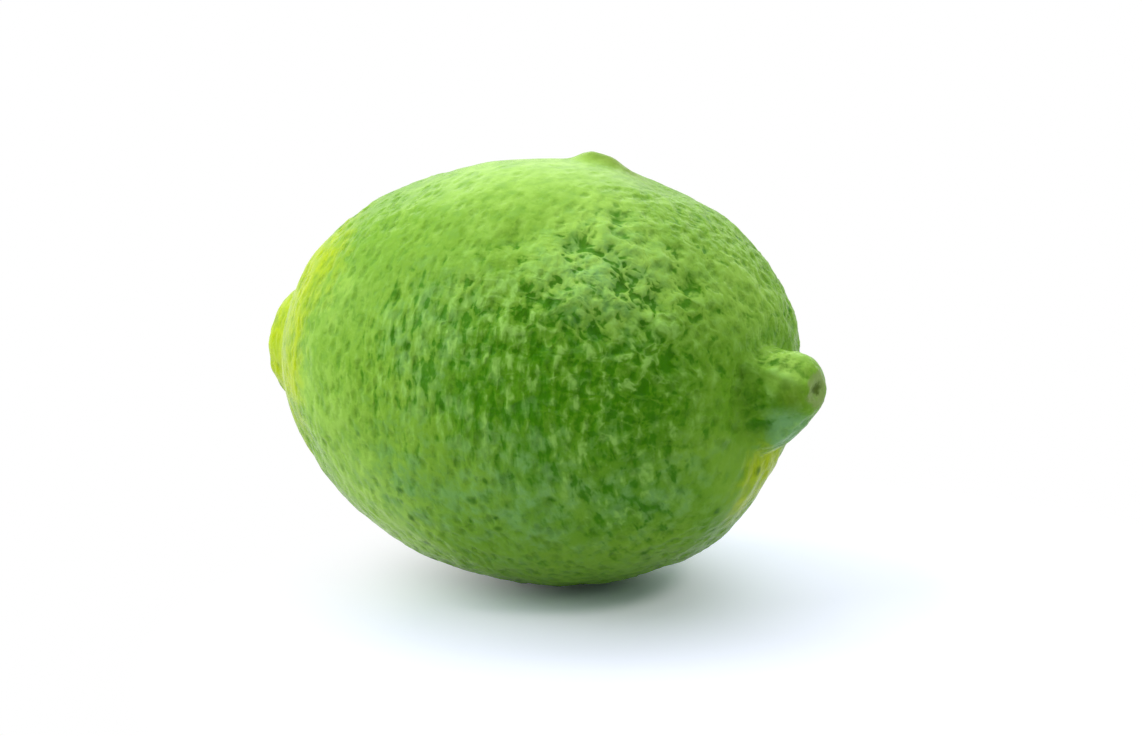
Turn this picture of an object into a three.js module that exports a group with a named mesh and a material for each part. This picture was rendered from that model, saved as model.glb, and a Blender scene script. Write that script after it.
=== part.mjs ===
// A whole unripe lemon, lying on its side on the small flat spot that it rests on.
//
// Millimetres, +Z up. +X runs along the fruit towards its nipple, and the origin is on the flat spot, straight
// below the fruit's widest section.
//
// The fruit grew as one piece, so it is one closed mesh. Its outline is an egg-shaped oval turned about the
// long axis. A blunt nipple is pushed out of one end with a furrow round its foot, and a low collar with the
// hollow scar of the stalk out of the other. Broad swellings and dents then make it uneven, as a real one is.

import * as THREE from "three";
import { mergeVertices } from "three/addons/utils/BufferGeometryUtils.js";

// ---- Driving dimensions -----------------------------------------------------------------------------------

// The oval: its half-thickness, and its lengths from the widest section to each end. A fullness of 2 is a true
// ellipse; more is blunter and less is more pointed.
const BODY = {
  radius: 30.3,
  toNipple: 37.6,
  toStem: 41.4,
  nippleFullness: 2.15,
  stemFullness: 1.82,
};

// The nipple narrows from its foot to a flat tip, and leans up by this share of its height. A rounding of 1 would
// make its side straight; more makes it swell.
const NIPPLE = { height: 7, footRadius: 7.6, tipRadius: 2.2, rounding: 1.7, lean: 0.19 };

// The nipple is pinched: narrower sideways by this share, and moved towards the +Y side. The pinch is full from
// fullAt out to the foot and gone at goneAt, both in foot radii.
const PINCH = { share: 0.13, shift: 0.7, fullAt: 0.7, goneAt: 2.2 };

// The nipple sags: its underside hangs out in a lip, and its upper side dips into a saddle at the foot.
const LIP = { drop: 1.2, radius: 6.9, halfWidth: 1.8 };
const SADDLE = { drop: 0.9, radius: 7.2, halfWidth: 1.7 };

// The furrow round the nipple's foot, and the dimple in its tip.
const FURROW = { depth: 0.8, halfWidth: 2.2 };
const TIP_DIMPLE = { depth: 0.6, halfWidth: 1.1 };

// The collar at the stem end, and the scar in the middle of it.
const COLLAR = { height: 3.6, footRadius: 11.5, topRadius: 7.2 };
const SCAR = { depth: 1.5, edgeRadius: 4.4, floorRadius: 2 };

// Swellings, and dents where the height is negative. Each one's middle is where the station along the axis and
// the clock angle meet on the skin: 0 degrees is the top of the fruit, and 90 its -Y side.
const SWELLINGS = [
  { name: "wart", station: 5, clock: -11, halfWidth: 2, height: 1.3 },
  { name: "wart_ridge", station: 7.8, clock: -13, halfWidth: 2, height: 1.1 },
  { name: "wart_tail", station: 10.6, clock: -16, halfWidth: 1.8, height: 0.3 },
  { name: "nipple_shoulder", station: 29, clock: -50, halfWidth: 11, height: 0.7 },
  { name: "dent_past_wart", station: 16, clock: -16, halfWidth: 4.6, height: -1.1 },
  { name: "dent_before_wart", station: -4, clock: -9, halfWidth: 5, height: -0.3 },
  { name: "top_dent", station: -14, clock: -6, halfWidth: 5, height: -0.3 },
  { name: "stem_shoulder", station: -23, clock: 8, halfWidth: 5, height: 0.4 },
  { name: "collar_shoulder", station: -33, clock: 28, halfWidth: 6, height: 0.6 },
  { name: "collar_dent", station: -28.6, clock: 114, halfWidth: 5, height: -0.8 },
  { name: "near_valley", station: 11, clock: 34, halfWidth: 5, height: -0.6 },
  { name: "near_fold", station: 18, clock: 50, halfWidth: 6, height: 0.5 },
  { name: "low_cheek", station: -15, clock: 150, halfWidth: 8, height: 0.3 },
  { name: "low_knuckle", station: 24, clock: -172, halfWidth: 5, height: 0.5 },
  { name: "near_furrow", station: 36.9, clock: 58, halfWidth: 2.8, height: -0.9 },
  { name: "low_furrow", station: 36.9, clock: 95, halfWidth: 2.8, height: -0.9 },
  { name: "far_brow", station: 33.5, clock: -62, halfWidth: 5, height: 0.4 },
  { name: "chin", station: 32, clock: 152, halfWidth: 6, height: 0.4 },
  { name: "chin_dent", station: 31, clock: -145, halfWidth: 5, height: -0.6 },
  { name: "far_chin", station: 34, clock: -110, halfWidth: 5, height: 0.5 },
  { name: "far_cheek", station: -10, clock: -95, halfWidth: 14, height: 0.6 },
  { name: "far_dent", station: 15, clock: -105, halfWidth: 9, height: -0.6 },
];

// How it lies: tipped up a little towards the nipple, with its lowest skin pressed flat.
const TIP_DEGREES = 2.3;
const FLAT_SPOT = { depth: 0.5, blend: 0.2 };

// The faces: squares across and along a box that is wrapped round the fruit, and how far its two end faces
// reach down the outline from the middle of each end.
const GRID = { across: 25, along: 30 };
const END_REACH = { nipple: 17, stem: 16 };
const OUTLINE_STEPS = 1000;

// ---- The outline ------------------------------------------------------------------------------------------

// How far the nipple stands out at a radius.
function nippleRise(radius) {
  const share = (radius - NIPPLE.tipRadius) / (NIPPLE.footRadius - NIPPLE.tipRadius);
  const down = THREE.MathUtils.clamp(share, 0, 1);
  return NIPPLE.height * (1 - down ** NIPPLE.rounding);
}

// A smooth step from 1 at the inner radius down to 0 at the outer one.
function fade(radius, inner, outer) {
  return 1 - THREE.MathUtils.smoothstep(radius, inner, outer);
}

// A soft round bump of height 1.
function bump(distance, halfWidth) {
  return Math.exp(-((distance / halfWidth) ** 2));
}

// A point of the outline before it is turned: x along the axis and y the distance from it. The angle runs from
// 0 at the nipple's tip to pi at the stem scar.
function outlinePoint(angle) {
  const along = Math.cos(angle);
  const atNipple = along >= 0;
  const fullness = atNipple ? BODY.nippleFullness : BODY.stemFullness;
  const roundness = Math.max(0, 1 - Math.abs(along) ** fullness);
  const radius = BODY.radius * Math.sqrt(roundness);
  if (atNipple) {
    const furrow = FURROW.depth * bump(radius - NIPPLE.footRadius, FURROW.halfWidth);
    const dimple = TIP_DIMPLE.depth * bump(radius, TIP_DIMPLE.halfWidth);
    return new THREE.Vector2(BODY.toNipple * along + nippleRise(radius) - furrow - dimple, radius);
  }
  const collar = COLLAR.height * fade(radius, COLLAR.topRadius, COLLAR.footRadius);
  const scar = SCAR.depth * fade(radius, SCAR.floorRadius, SCAR.edgeRadius);
  return new THREE.Vector2(BODY.toStem * along - collar + scar, radius);
}

// The outline by its own length from the nipple's tip, so that faces keep their size on its steep parts.
function measuredOutline() {
  const points = [outlinePoint(0)];
  const lengths = [0];
  for (let i = 1; i <= OUTLINE_STEPS; i += 1) {
    points.push(outlinePoint((Math.PI * i) / OUTLINE_STEPS));
    lengths.push(lengths[i - 1] + points[i].distanceTo(points[i - 1]));
  }
  const total = lengths[OUTLINE_STEPS];
  const pointAt = (length) => {
    const past = lengths.findIndex((reached) => reached >= length);
    const next = THREE.MathUtils.clamp(past, 1, OUTLINE_STEPS);
    const between = (length - lengths[next - 1]) / (lengths[next] - lengths[next - 1]);
    return points[next - 1].clone().lerp(points[next], between);
  };
  return { total, pointAt };
}

// ---- The skin ---------------------------------------------------------------------------------------------

// The direction, in the YZ plane, of a place on a square: even steps along its sides are even angles.
function squareAngle(y, z) {
  const eighth = Math.PI / 4;
  if (Math.abs(y) > Math.abs(z)) return (y > 0 ? 0 : 4 * eighth) + eighth * (z / y);
  if (z === 0) return 0;
  return (z > 0 ? 2 : -2) * eighth - eighth * (y / z);
}

// How far down the outline a place on the box of half-size 1 belongs. Its end faces cover the fruit's two ends
// in rings, and its sides the stretch between them.
function outlineLength({ x, y, z }, total) {
  const ring = Math.max(Math.abs(y), Math.abs(z));
  if (x === 1) return ring * END_REACH.nipple;
  if (x === -1) return total - ring * END_REACH.stem;
  return THREE.MathUtils.mapLinear(x, 1, -1, END_REACH.nipple, total - END_REACH.stem);
}

// The middle of a swelling, on the oval.
function swellingMiddle({ station, clock }) {
  const half = station >= 0 ? BODY.toNipple : BODY.toStem;
  const fullness = station >= 0 ? BODY.nippleFullness : BODY.stemFullness;
  const radius = BODY.radius * Math.sqrt(1 - Math.abs(station / half) ** fullness);
  const angle = THREE.MathUtils.degToRad(clock);
  return new THREE.Vector3(station, -radius * Math.sin(angle), radius * Math.cos(angle));
}

// Pinches the nipple sideways and lets it sag. The radius is the point's own on the even outline.
function shapeNipple(point, radius) {
  if (point.x <= 0 || radius === 0) return;
  const { tipRadius, footRadius } = NIPPLE;
  const pastTip = 1 - fade(radius, tipRadius, PINCH.fullAt * footRadius);
  const pinch = pastTip * fade(radius, footRadius, PINCH.goneAt * footRadius);
  point.y += pinch * (PINCH.shift - PINCH.share * point.y);
  const sag = point.z < 0 ? LIP : SADDLE;
  const upright = (point.z / radius) ** 2;
  point.z -= sag.drop * upright * bump(radius - sag.radius, sag.halfWidth);
}

// Leans the nipple over: what lies past the middle of its height moves up in proportion.
function lean(point) {
  point.z += NIPPLE.lean * Math.max(0, point.x - (BODY.toNipple - NIPPLE.height / 2));
}

// Pushes a point of the skin out, away from the middle of the fruit, by every swelling near it.
function swell(point, middles) {
  const outward = point.clone().normalize();
  let push = 0;
  SWELLINGS.forEach(({ halfWidth, height }, i) => {
    push += height * bump(point.distanceTo(middles[i]), halfWidth);
  });
  point.addScaledVector(outward, push);
}

// Tips the fruit, lowers it onto the surface, and presses flat what would go below it, with a soft edge.
function settle(point) {
  point.applyAxisAngle(new THREE.Vector3(0, 1, 0), -THREE.MathUtils.degToRad(TIP_DEGREES));
  point.z += BODY.radius - FLAT_SPOT.depth;
  const { blend } = FLAT_SPOT;
  if (point.z < -blend) point.z = 0;
  else if (point.z < blend) point.z = (point.z + blend) ** 2 / (4 * blend);
}

// A box of even squares, wrapped round the turned outline and then made uneven.
function lemonGeometry() {
  const box = new THREE.BoxGeometry(2, 2, 2, GRID.along, GRID.across, GRID.across);
  box.deleteAttribute("normal");
  box.deleteAttribute("uv");
  const geometry = mergeVertices(box);
  const outline = measuredOutline();
  const middles = SWELLINGS.map(swellingMiddle);
  const position = geometry.getAttribute("position");
  const place = new THREE.Vector3();
  for (let i = 0; i < position.count; i += 1) {
    place.fromBufferAttribute(position, i);
    const { x, y: radius } = outline.pointAt(outlineLength(place, outline.total));
    const angle = squareAngle(place.y, place.z);
    const point = new THREE.Vector3(x, radius * Math.cos(angle), radius * Math.sin(angle));
    shapeNipple(point, radius);
    lean(point);
    swell(point, middles);
    settle(point);
    position.setXYZ(i, point.x, point.y, point.z);
  }
  geometry.computeVertexNormals();
  return geometry;
}

// ---- The part ---------------------------------------------------------------------------------------------

const skin = new THREE.MeshStandardMaterial({ color: 0x7fb045, roughness: 0.42, metalness: 0 });
const lemon = new THREE.Mesh(lemonGeometry(), skin);
lemon.name = "lemon";

const part = new THREE.Group();
part.add(lemon);

export default part;
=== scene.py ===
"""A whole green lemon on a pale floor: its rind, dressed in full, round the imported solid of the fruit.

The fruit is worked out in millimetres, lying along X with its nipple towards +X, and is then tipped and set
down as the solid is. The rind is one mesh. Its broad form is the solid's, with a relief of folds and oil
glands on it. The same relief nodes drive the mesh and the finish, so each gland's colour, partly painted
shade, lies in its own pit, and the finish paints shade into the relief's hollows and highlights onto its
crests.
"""

import logging
import math
from dataclasses import dataclass, field
from enum import Enum

import bpy
import numpy as np
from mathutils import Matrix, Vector


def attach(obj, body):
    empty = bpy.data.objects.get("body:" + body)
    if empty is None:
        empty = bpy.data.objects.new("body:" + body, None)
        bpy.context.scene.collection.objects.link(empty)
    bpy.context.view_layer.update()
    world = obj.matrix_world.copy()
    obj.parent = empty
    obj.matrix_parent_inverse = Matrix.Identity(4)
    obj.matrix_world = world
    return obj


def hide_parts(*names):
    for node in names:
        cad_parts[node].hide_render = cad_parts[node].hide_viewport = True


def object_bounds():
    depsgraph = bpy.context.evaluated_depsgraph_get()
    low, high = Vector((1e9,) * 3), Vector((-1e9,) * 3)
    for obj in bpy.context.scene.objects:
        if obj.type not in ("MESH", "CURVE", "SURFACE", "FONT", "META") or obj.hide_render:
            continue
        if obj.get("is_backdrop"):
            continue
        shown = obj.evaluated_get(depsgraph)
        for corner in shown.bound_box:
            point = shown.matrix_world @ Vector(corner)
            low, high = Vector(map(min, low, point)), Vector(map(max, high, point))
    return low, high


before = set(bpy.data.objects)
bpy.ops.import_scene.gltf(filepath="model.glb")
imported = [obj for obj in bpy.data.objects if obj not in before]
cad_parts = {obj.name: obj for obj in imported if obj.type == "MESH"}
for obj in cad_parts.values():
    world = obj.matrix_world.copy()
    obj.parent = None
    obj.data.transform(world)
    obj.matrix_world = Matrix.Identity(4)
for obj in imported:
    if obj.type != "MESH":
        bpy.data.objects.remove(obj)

MM = 0.001
BODY_NODE = "lemon"
BODY_NAME = "root"
REST_PLACE = "rest_mm"
WHITE = (1.0, 1.0, 1.0, 1.0)
CLOUD_REACH = 0.25  # how far cloudy noise strays from its middle

log = logging.getLogger("lemon")


# ---- Small shared helpers ---------------------------------------------------------------------------------


def bump(distance: np.ndarray, half_width: float) -> np.ndarray:
    """Returns a soft round bump of height 1 at distance 0."""
    return np.exp(-((distance / half_width) ** 2))


def fade(value: np.ndarray, inner: float, outer: float) -> np.ndarray:
    """Returns a smooth step from 1 at the inner value down to 0 at the outer one."""
    share = np.clip((outer - value) / (outer - inner), 0, 1)
    return share * share * (3 - 2 * share)


def in_scene(name: str, data: bpy.types.ID) -> bpy.types.Object:
    """Puts a mesh, a lamp or a camera in the scene as an object.

    Args:
        name: The object's name.
        data: What it shows.

    Returns:
        The object.
    """
    made = bpy.data.objects.new(name, data)
    bpy.context.scene.collection.objects.link(made)
    return made


# ---- The fruit's form -------------------------------------------------------------------------------------


@dataclass(frozen=True)
class Spot:
    """A soft round place on the skin: a swelling, a dent or a patch of colour.

    Its middle is where the station along the axis and the clock angle meet on the oval, or at the given reach
    from the axis. A clock angle of 0 is the top of the fruit, and 90 its -Y side. The strength is a height or
    depth in millimetres, or a share of colour.
    """

    name: str
    station: float
    clock: float
    half_width: float
    strength: float
    reach: float | None = None


class End(Enum):
    """An end of the fruit, by the side of the widest section that it lies on."""

    NIPPLE = 1
    STEM = -1

    def holds(self, points: np.ndarray) -> np.ndarray:
        """Returns whether each point is in this end's half of the fruit."""
        return points[:, 0] * self.value > 0


@dataclass(frozen=True)
class Pleats:
    """A ring of uneven ridges that run down the skin from one end, highest at a radius about the axis.

    The wanders are how far the ridges stray from even spacing, in slow and in quick waves. The unevenness is
    half of the share of their height that the lowest ridges lose. Each has its own number of waves round the
    fruit.
    """

    end: End
    radius: float
    half_width: float
    count: int
    height: float
    phase: float
    slow_wander: float = 1.3
    slow_waves: int = 2
    quick_wander: float = 0.9
    quick_waves: int = 5
    unevenness: float = 0.35
    uneven_waves: int = 3

    def rise(self, points: np.ndarray, reach: np.ndarray) -> np.ndarray:
        """Works out how high the ridges stand.

        Args:
            points: Points of the skin, with the long axis along X.
            reach: Each point's distance from the axis on the even outline.

        Returns:
            A height for each point, in millimetres, below 0 between the ridges.
        """
        clock = np.arctan2(points[:, 2], points[:, 1])
        wander = self.slow_wander * np.sin(self.slow_waves * clock + self.phase)
        wander += self.quick_wander * np.sin(self.quick_waves * clock + 2 * self.phase)
        uneven = 1 - self.unevenness * (1 - np.sin(self.uneven_waves * clock + 3 * self.phase))
        ridge = np.cos(self.count * clock + wander) * bump(reach - self.radius, self.half_width)
        return self.height * uneven * ridge * self.end.holds(points)


@dataclass(frozen=True)
class Blush:
    """A band of colour round the fruit, strongest at a station along the axis and on one side of it."""

    station: float
    half_width: float
    strength: float
    clock: float
    far_share: float

    def share(self, points: np.ndarray) -> np.ndarray:
        """Works out how much of the colour the skin takes.

        Args:
            points: Points of the skin, with the long axis along X.

        Returns:
            A share for each point.
        """
        clock = np.arctan2(-points[:, 1], points[:, 2])
        toward = 0.5 + 0.5 * np.cos(clock - math.radians(self.clock))
        side = self.far_share + (1 - self.far_share) * toward
        return self.strength * side * bump(points[:, 0] - self.station, self.half_width)


@dataclass(frozen=True)
class Outline:
    """The fruit's outline from nipple to stem, in millimetres, before it is turned about the long axis."""

    radius: float = 30.3
    to_nipple: float = 37.6
    to_stem: float = 41.4
    nipple_fullness: float = 2.15
    stem_fullness: float = 1.82
    nipple_height: float = 7.0
    nipple_foot: float = 7.6
    nipple_tip: float = 2.2
    nipple_rounding: float = 1.7
    nipple_lean: float = 0.19
    pinch_share: float = 0.13
    pinch_shift: float = 0.7
    pinch_full_at: float = 0.7
    pinch_gone_at: float = 2.2
    lip_height: float = 1.2
    lip_radius: float = 6.9
    lip_half_width: float = 1.8
    saddle_depth: float = 0.9
    saddle_radius: float = 7.2
    saddle_half_width: float = 1.7
    furrow_depth: float = 0.8
    furrow_half_width: float = 2.2
    dimple_depth: float = 0.6
    dimple_half_width: float = 1.1
    collar_height: float = 3.6
    collar_foot: float = 11.5
    collar_top: float = 7.2
    scar_depth: float = 1.5
    scar_edge: float = 4.4
    scar_floor: float = 2.0
    steps: int = 6000

    def oval_radius(self, share: np.ndarray, at_nipple: np.ndarray) -> np.ndarray:
        """Returns the oval's radii, given shares of the way from its widest section to each end."""
        fullness = np.where(at_nipple, self.nipple_fullness, self.stem_fullness)
        return self.radius * np.sqrt(np.clip(1 - np.abs(share) ** fullness, 0, None))

    def points(self, angles: np.ndarray) -> tuple[np.ndarray, np.ndarray]:
        """Works out points of the outline.

        Args:
            angles: Angles from 0 at the nipple's tip to pi at the stem scar.

        Returns:
            The stations along the axis, and the distances from it.
        """
        along = np.cos(angles)
        at_nipple = along >= 0
        radius = self.oval_radius(along, at_nipple)
        down = np.clip((radius - self.nipple_tip) / (self.nipple_foot - self.nipple_tip), 0, 1)
        nipple = self.nipple_height * (1 - down**self.nipple_rounding)
        nipple -= self.furrow_depth * bump(radius - self.nipple_foot, self.furrow_half_width)
        nipple -= self.dimple_depth * bump(radius, self.dimple_half_width)
        collar = self.collar_height * fade(radius, self.collar_top, self.collar_foot)
        collar -= self.scar_depth * fade(radius, self.scar_floor, self.scar_edge)
        near = self.to_nipple * along + nipple
        far = self.to_stem * along - collar
        return np.where(at_nipple, near, far), radius

    def pinch(self, reach: np.ndarray, aside: np.ndarray, at_nipple: np.ndarray) -> np.ndarray:
        """Works out how far the nipple's pinch moves the skin sideways. It is strongest at the nipple's foot.

        Args:
            reach: Distances from the long axis, in millimetres.
            aside: Distances to the +Y side of the long axis.
            at_nipple: Whether each place is in the nipple's half.

        Returns:
            How far each place moves towards +Y.
        """
        past_tip = 1 - fade(reach, self.nipple_tip, self.pinch_full_at * self.nipple_foot)
        near_foot = fade(reach, self.nipple_foot, self.pinch_gone_at * self.nipple_foot)
        return past_tip * near_foot * at_nipple * (self.pinch_shift - self.pinch_share * aside)

    def sag(self, reach: np.ndarray, height: np.ndarray, at_nipple: np.ndarray) -> np.ndarray:
        """Works out how far the nipple's underside hangs out in a lip, and the top of its foot sinks in.

        Args:
            reach: Distances from the long axis, in millimetres.
            height: Heights above the long axis.
            at_nipple: Whether each place is in the nipple's half.

        Returns:
            How far each place is lowered.
        """
        upward = height / np.maximum(reach, MM)
        below, above = np.clip(-upward, 0, 1) ** 2, np.clip(upward, 0, 1) ** 2
        lip = self.lip_height * below * bump(reach - self.lip_radius, self.lip_half_width)
        saddle = self.saddle_depth * above * bump(reach - self.saddle_radius, self.saddle_half_width)
        return (lip + saddle) * at_nipple

    def measured(self) -> tuple[np.ndarray, np.ndarray, np.ndarray]:
        """Measures the outline from the nipple's tip to the stem scar.

        Returns:
            The stations, the radii and the outline's length down to each, in millimetres.
        """
        x, radius = self.points(np.linspace(0, math.pi, self.steps + 1))
        lengths = np.concatenate([[0.0], np.cumsum(np.hypot(np.diff(x), np.diff(radius)))])
        return x, radius, lengths

    def middle(self, spot: Spot) -> np.ndarray:
        """Finds the middle of a spot.

        Args:
            spot: The spot.

        Returns:
            Its place, in millimetres, with the long axis along X.
        """
        radius = spot.reach
        if radius is None:
            at_nipple = spot.station >= 0
            half = self.to_nipple if at_nipple else self.to_stem
            radius = float(self.oval_radius(np.array(spot.station / half), np.array(at_nipple)))
        clock = math.radians(spot.clock)
        return np.array([spot.station, -radius * math.sin(clock), radius * math.cos(clock)])


SWELLINGS = (
    Spot("wart", 5.0, -11, 2.0, 1.3),
    Spot("wart_ridge", 7.8, -13, 2.0, 1.1),
    Spot("wart_tail", 10.6, -16, 1.8, 0.3),
    Spot("nipple_shoulder", 29, -50, 11, 0.7),
    Spot("dent_past_wart", 16, -16, 4.6, -1.1),
    Spot("dent_before_wart", -4, -9, 5, -0.3),
    Spot("top_dent", -14, -6, 5, -0.3),
    Spot("stem_shoulder", -23, 8, 5, 0.4),
    Spot("collar_shoulder", -33, 28, 6, 0.6),
    Spot("collar_dent", -28.6, 114, 5, -0.8),
    Spot("near_valley", 11, 34, 5, -0.6),
    Spot("near_fold", 18, 50, 6, 0.5),
    Spot("low_cheek", -15, 150, 8, 0.3),
    Spot("low_knuckle", 24, -172, 5, 0.5),
    Spot("near_furrow", 36.9, 58, 2.8, -0.9),
    Spot("low_furrow", 36.9, 95, 2.8, -0.9),
    Spot("far_brow", 33.5, -62, 5, 0.4),
    Spot("chin", 32, 152, 6, 0.4),
    Spot("chin_dent", 31, -145, 5, -0.6),
    Spot("far_chin", 34, -110, 5, 0.5),
    Spot("far_cheek", -10, -95, 14, 0.6),
    Spot("far_dent", 15, -105, 9, -0.6),
)


@dataclass(frozen=True)
class WrappedGrid:
    """A box of even squares that is wrapped round the outline, its end faces over the fruit's two ends.

    The squares across and along are those of the box. The reaches say how far down the outline its end faces
    come, in millimetres, from the middle of each end.
    """

    across: int = 96
    along: int = 200
    nipple_reach: float = 17.0
    stem_reach: float = 16.0

    def quads(self) -> tuple[np.ndarray, np.ndarray]:
        """Lays out the box.

        Returns:
            The lattice places of its points, one row each, and the four points of each square.
        """
        size = (self.along, self.across, self.across)
        corners = []
        for axis in range(3):
            u, v = (axis + 1) % 3, (axis + 2) % 3
            steps_u, steps_v = np.meshgrid(np.arange(size[u]), np.arange(size[v]), indexing="ij")
            for side in (0, size[axis]):
                turns = ((0, 0), (1, 0), (1, 1), (0, 1))
                face = np.zeros((size[u] * size[v], 4, 3), int)
                for i, (du, dv) in enumerate(turns if side else turns[::-1]):
                    face[:, i, axis] = side
                    face[:, i, u] = steps_u.ravel() + du
                    face[:, i, v] = steps_v.ravel() + dv
                corners.append(face)
        stacked = np.concatenate(corners)
        places, index = np.unique(stacked.reshape(-1, 3), axis=0, return_inverse=True)
        return places, index.reshape(-1, 4)

    def wrap(self, places: np.ndarray, total: float) -> tuple[np.ndarray, np.ndarray]:
        """Wraps the lattice round the outline.

        Args:
            places: The lattice places of the points.
            total: The outline's whole length.

        Returns:
            How far down the outline each point is, and its angle about the axis.
        """
        along = places[:, 0] / self.along
        y = 2 * places[:, 1] / self.across - 1
        z = 2 * places[:, 2] / self.across - 1
        ring = np.maximum(np.abs(y), np.abs(z))
        down = total - self.stem_reach + along * (self.nipple_reach + self.stem_reach - total)
        down = np.where(places[:, 0] == self.along, ring * self.nipple_reach, down)
        down = np.where(places[:, 0] == 0, total - ring * self.stem_reach, down)
        with np.errstate(divide="ignore", invalid="ignore"):
            wide = np.where(y > 0, 0.0, math.pi) + math.pi / 4 * (z / y)
            tall = np.where(z > 0, math.pi / 2, -math.pi / 2) - math.pi / 4 * (y / z)
        angle = np.where(np.abs(y) > np.abs(z), wide, tall)
        return down, np.where(ring == 0, 0.0, angle)


@dataclass(frozen=True)
class Rest:
    """How the fruit lies: tipped up towards the nipple, with its lowest skin pressed flat. In millimetres."""

    tip_degrees: float = 2.3
    flat_depth: float = 0.5
    flat_blend: float = 0.2

    def settle(self, points: np.ndarray, radius: float) -> np.ndarray:
        """Sets the fruit down.

        Args:
            points: Points of the skin, with the long axis along X.
            radius: The oval's half-thickness.

        Returns:
            The points in the part's frame, none below the surface that it rests on.
        """
        tip = math.radians(self.tip_degrees)
        x = points[:, 0] * math.cos(tip) - points[:, 2] * math.sin(tip)
        z = points[:, 0] * math.sin(tip) + points[:, 2] * math.cos(tip)
        z += radius - self.flat_depth
        soft = (z + self.flat_blend) ** 2 / (4 * self.flat_blend)
        z = np.where(z < self.flat_blend, np.where(z < -self.flat_blend, 0.0, soft), z)
        return np.stack([x, points[:, 1], z], axis=1)


# ---- Node sheets ------------------------------------------------------------------------------------------

Socket = bpy.types.NodeSocket
Feed = Socket | float | tuple[float, ...]


class Mark(Enum):
    """What is stored on the mesh for the relief and the finish.

    PLEAT is a height and HOLLOW a depth, in millimetres. The others are shares from 0 to 1.
    """

    PLEAT = "pleat"
    CRUMPLE = "crumple"
    CALM = "calm"
    # A depth, which also takes painted shade, and painted highlights where it is below 0.
    HOLLOW = "hollow_shade"
    STROKE = "stroke"
    TIP = "tip"
    DIMPLE = "dimple"
    SCAR = "scar"
    SCAR_RING = "scar_ring"
    OLIVE = "olive"
    YELLOW = "yellow"
    # Paler skin, and painted light and sheen.
    PALE_AND_LIT = "pale_and_lit"
    # Deeper green skin, and painted shade.
    DEEP_AND_SHADED = "deep_and_shaded"
    # Painted sheen: a bluish reflection of the lamps and the floor.
    PAINTED_SHEEN = "painted_sheen"
    DOTTED = "dotted"


class Detail(Enum):
    """How many finer layers cloudy noise has."""

    SOFT = 1.0
    MIDDLE = 2.0
    FINE = 3.0


class Step(Enum):
    """How a remapped value goes from one limit to the other."""

    STRAIGHT = "LINEAR"
    SMOOTH = "SMOOTHSTEP"


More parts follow.
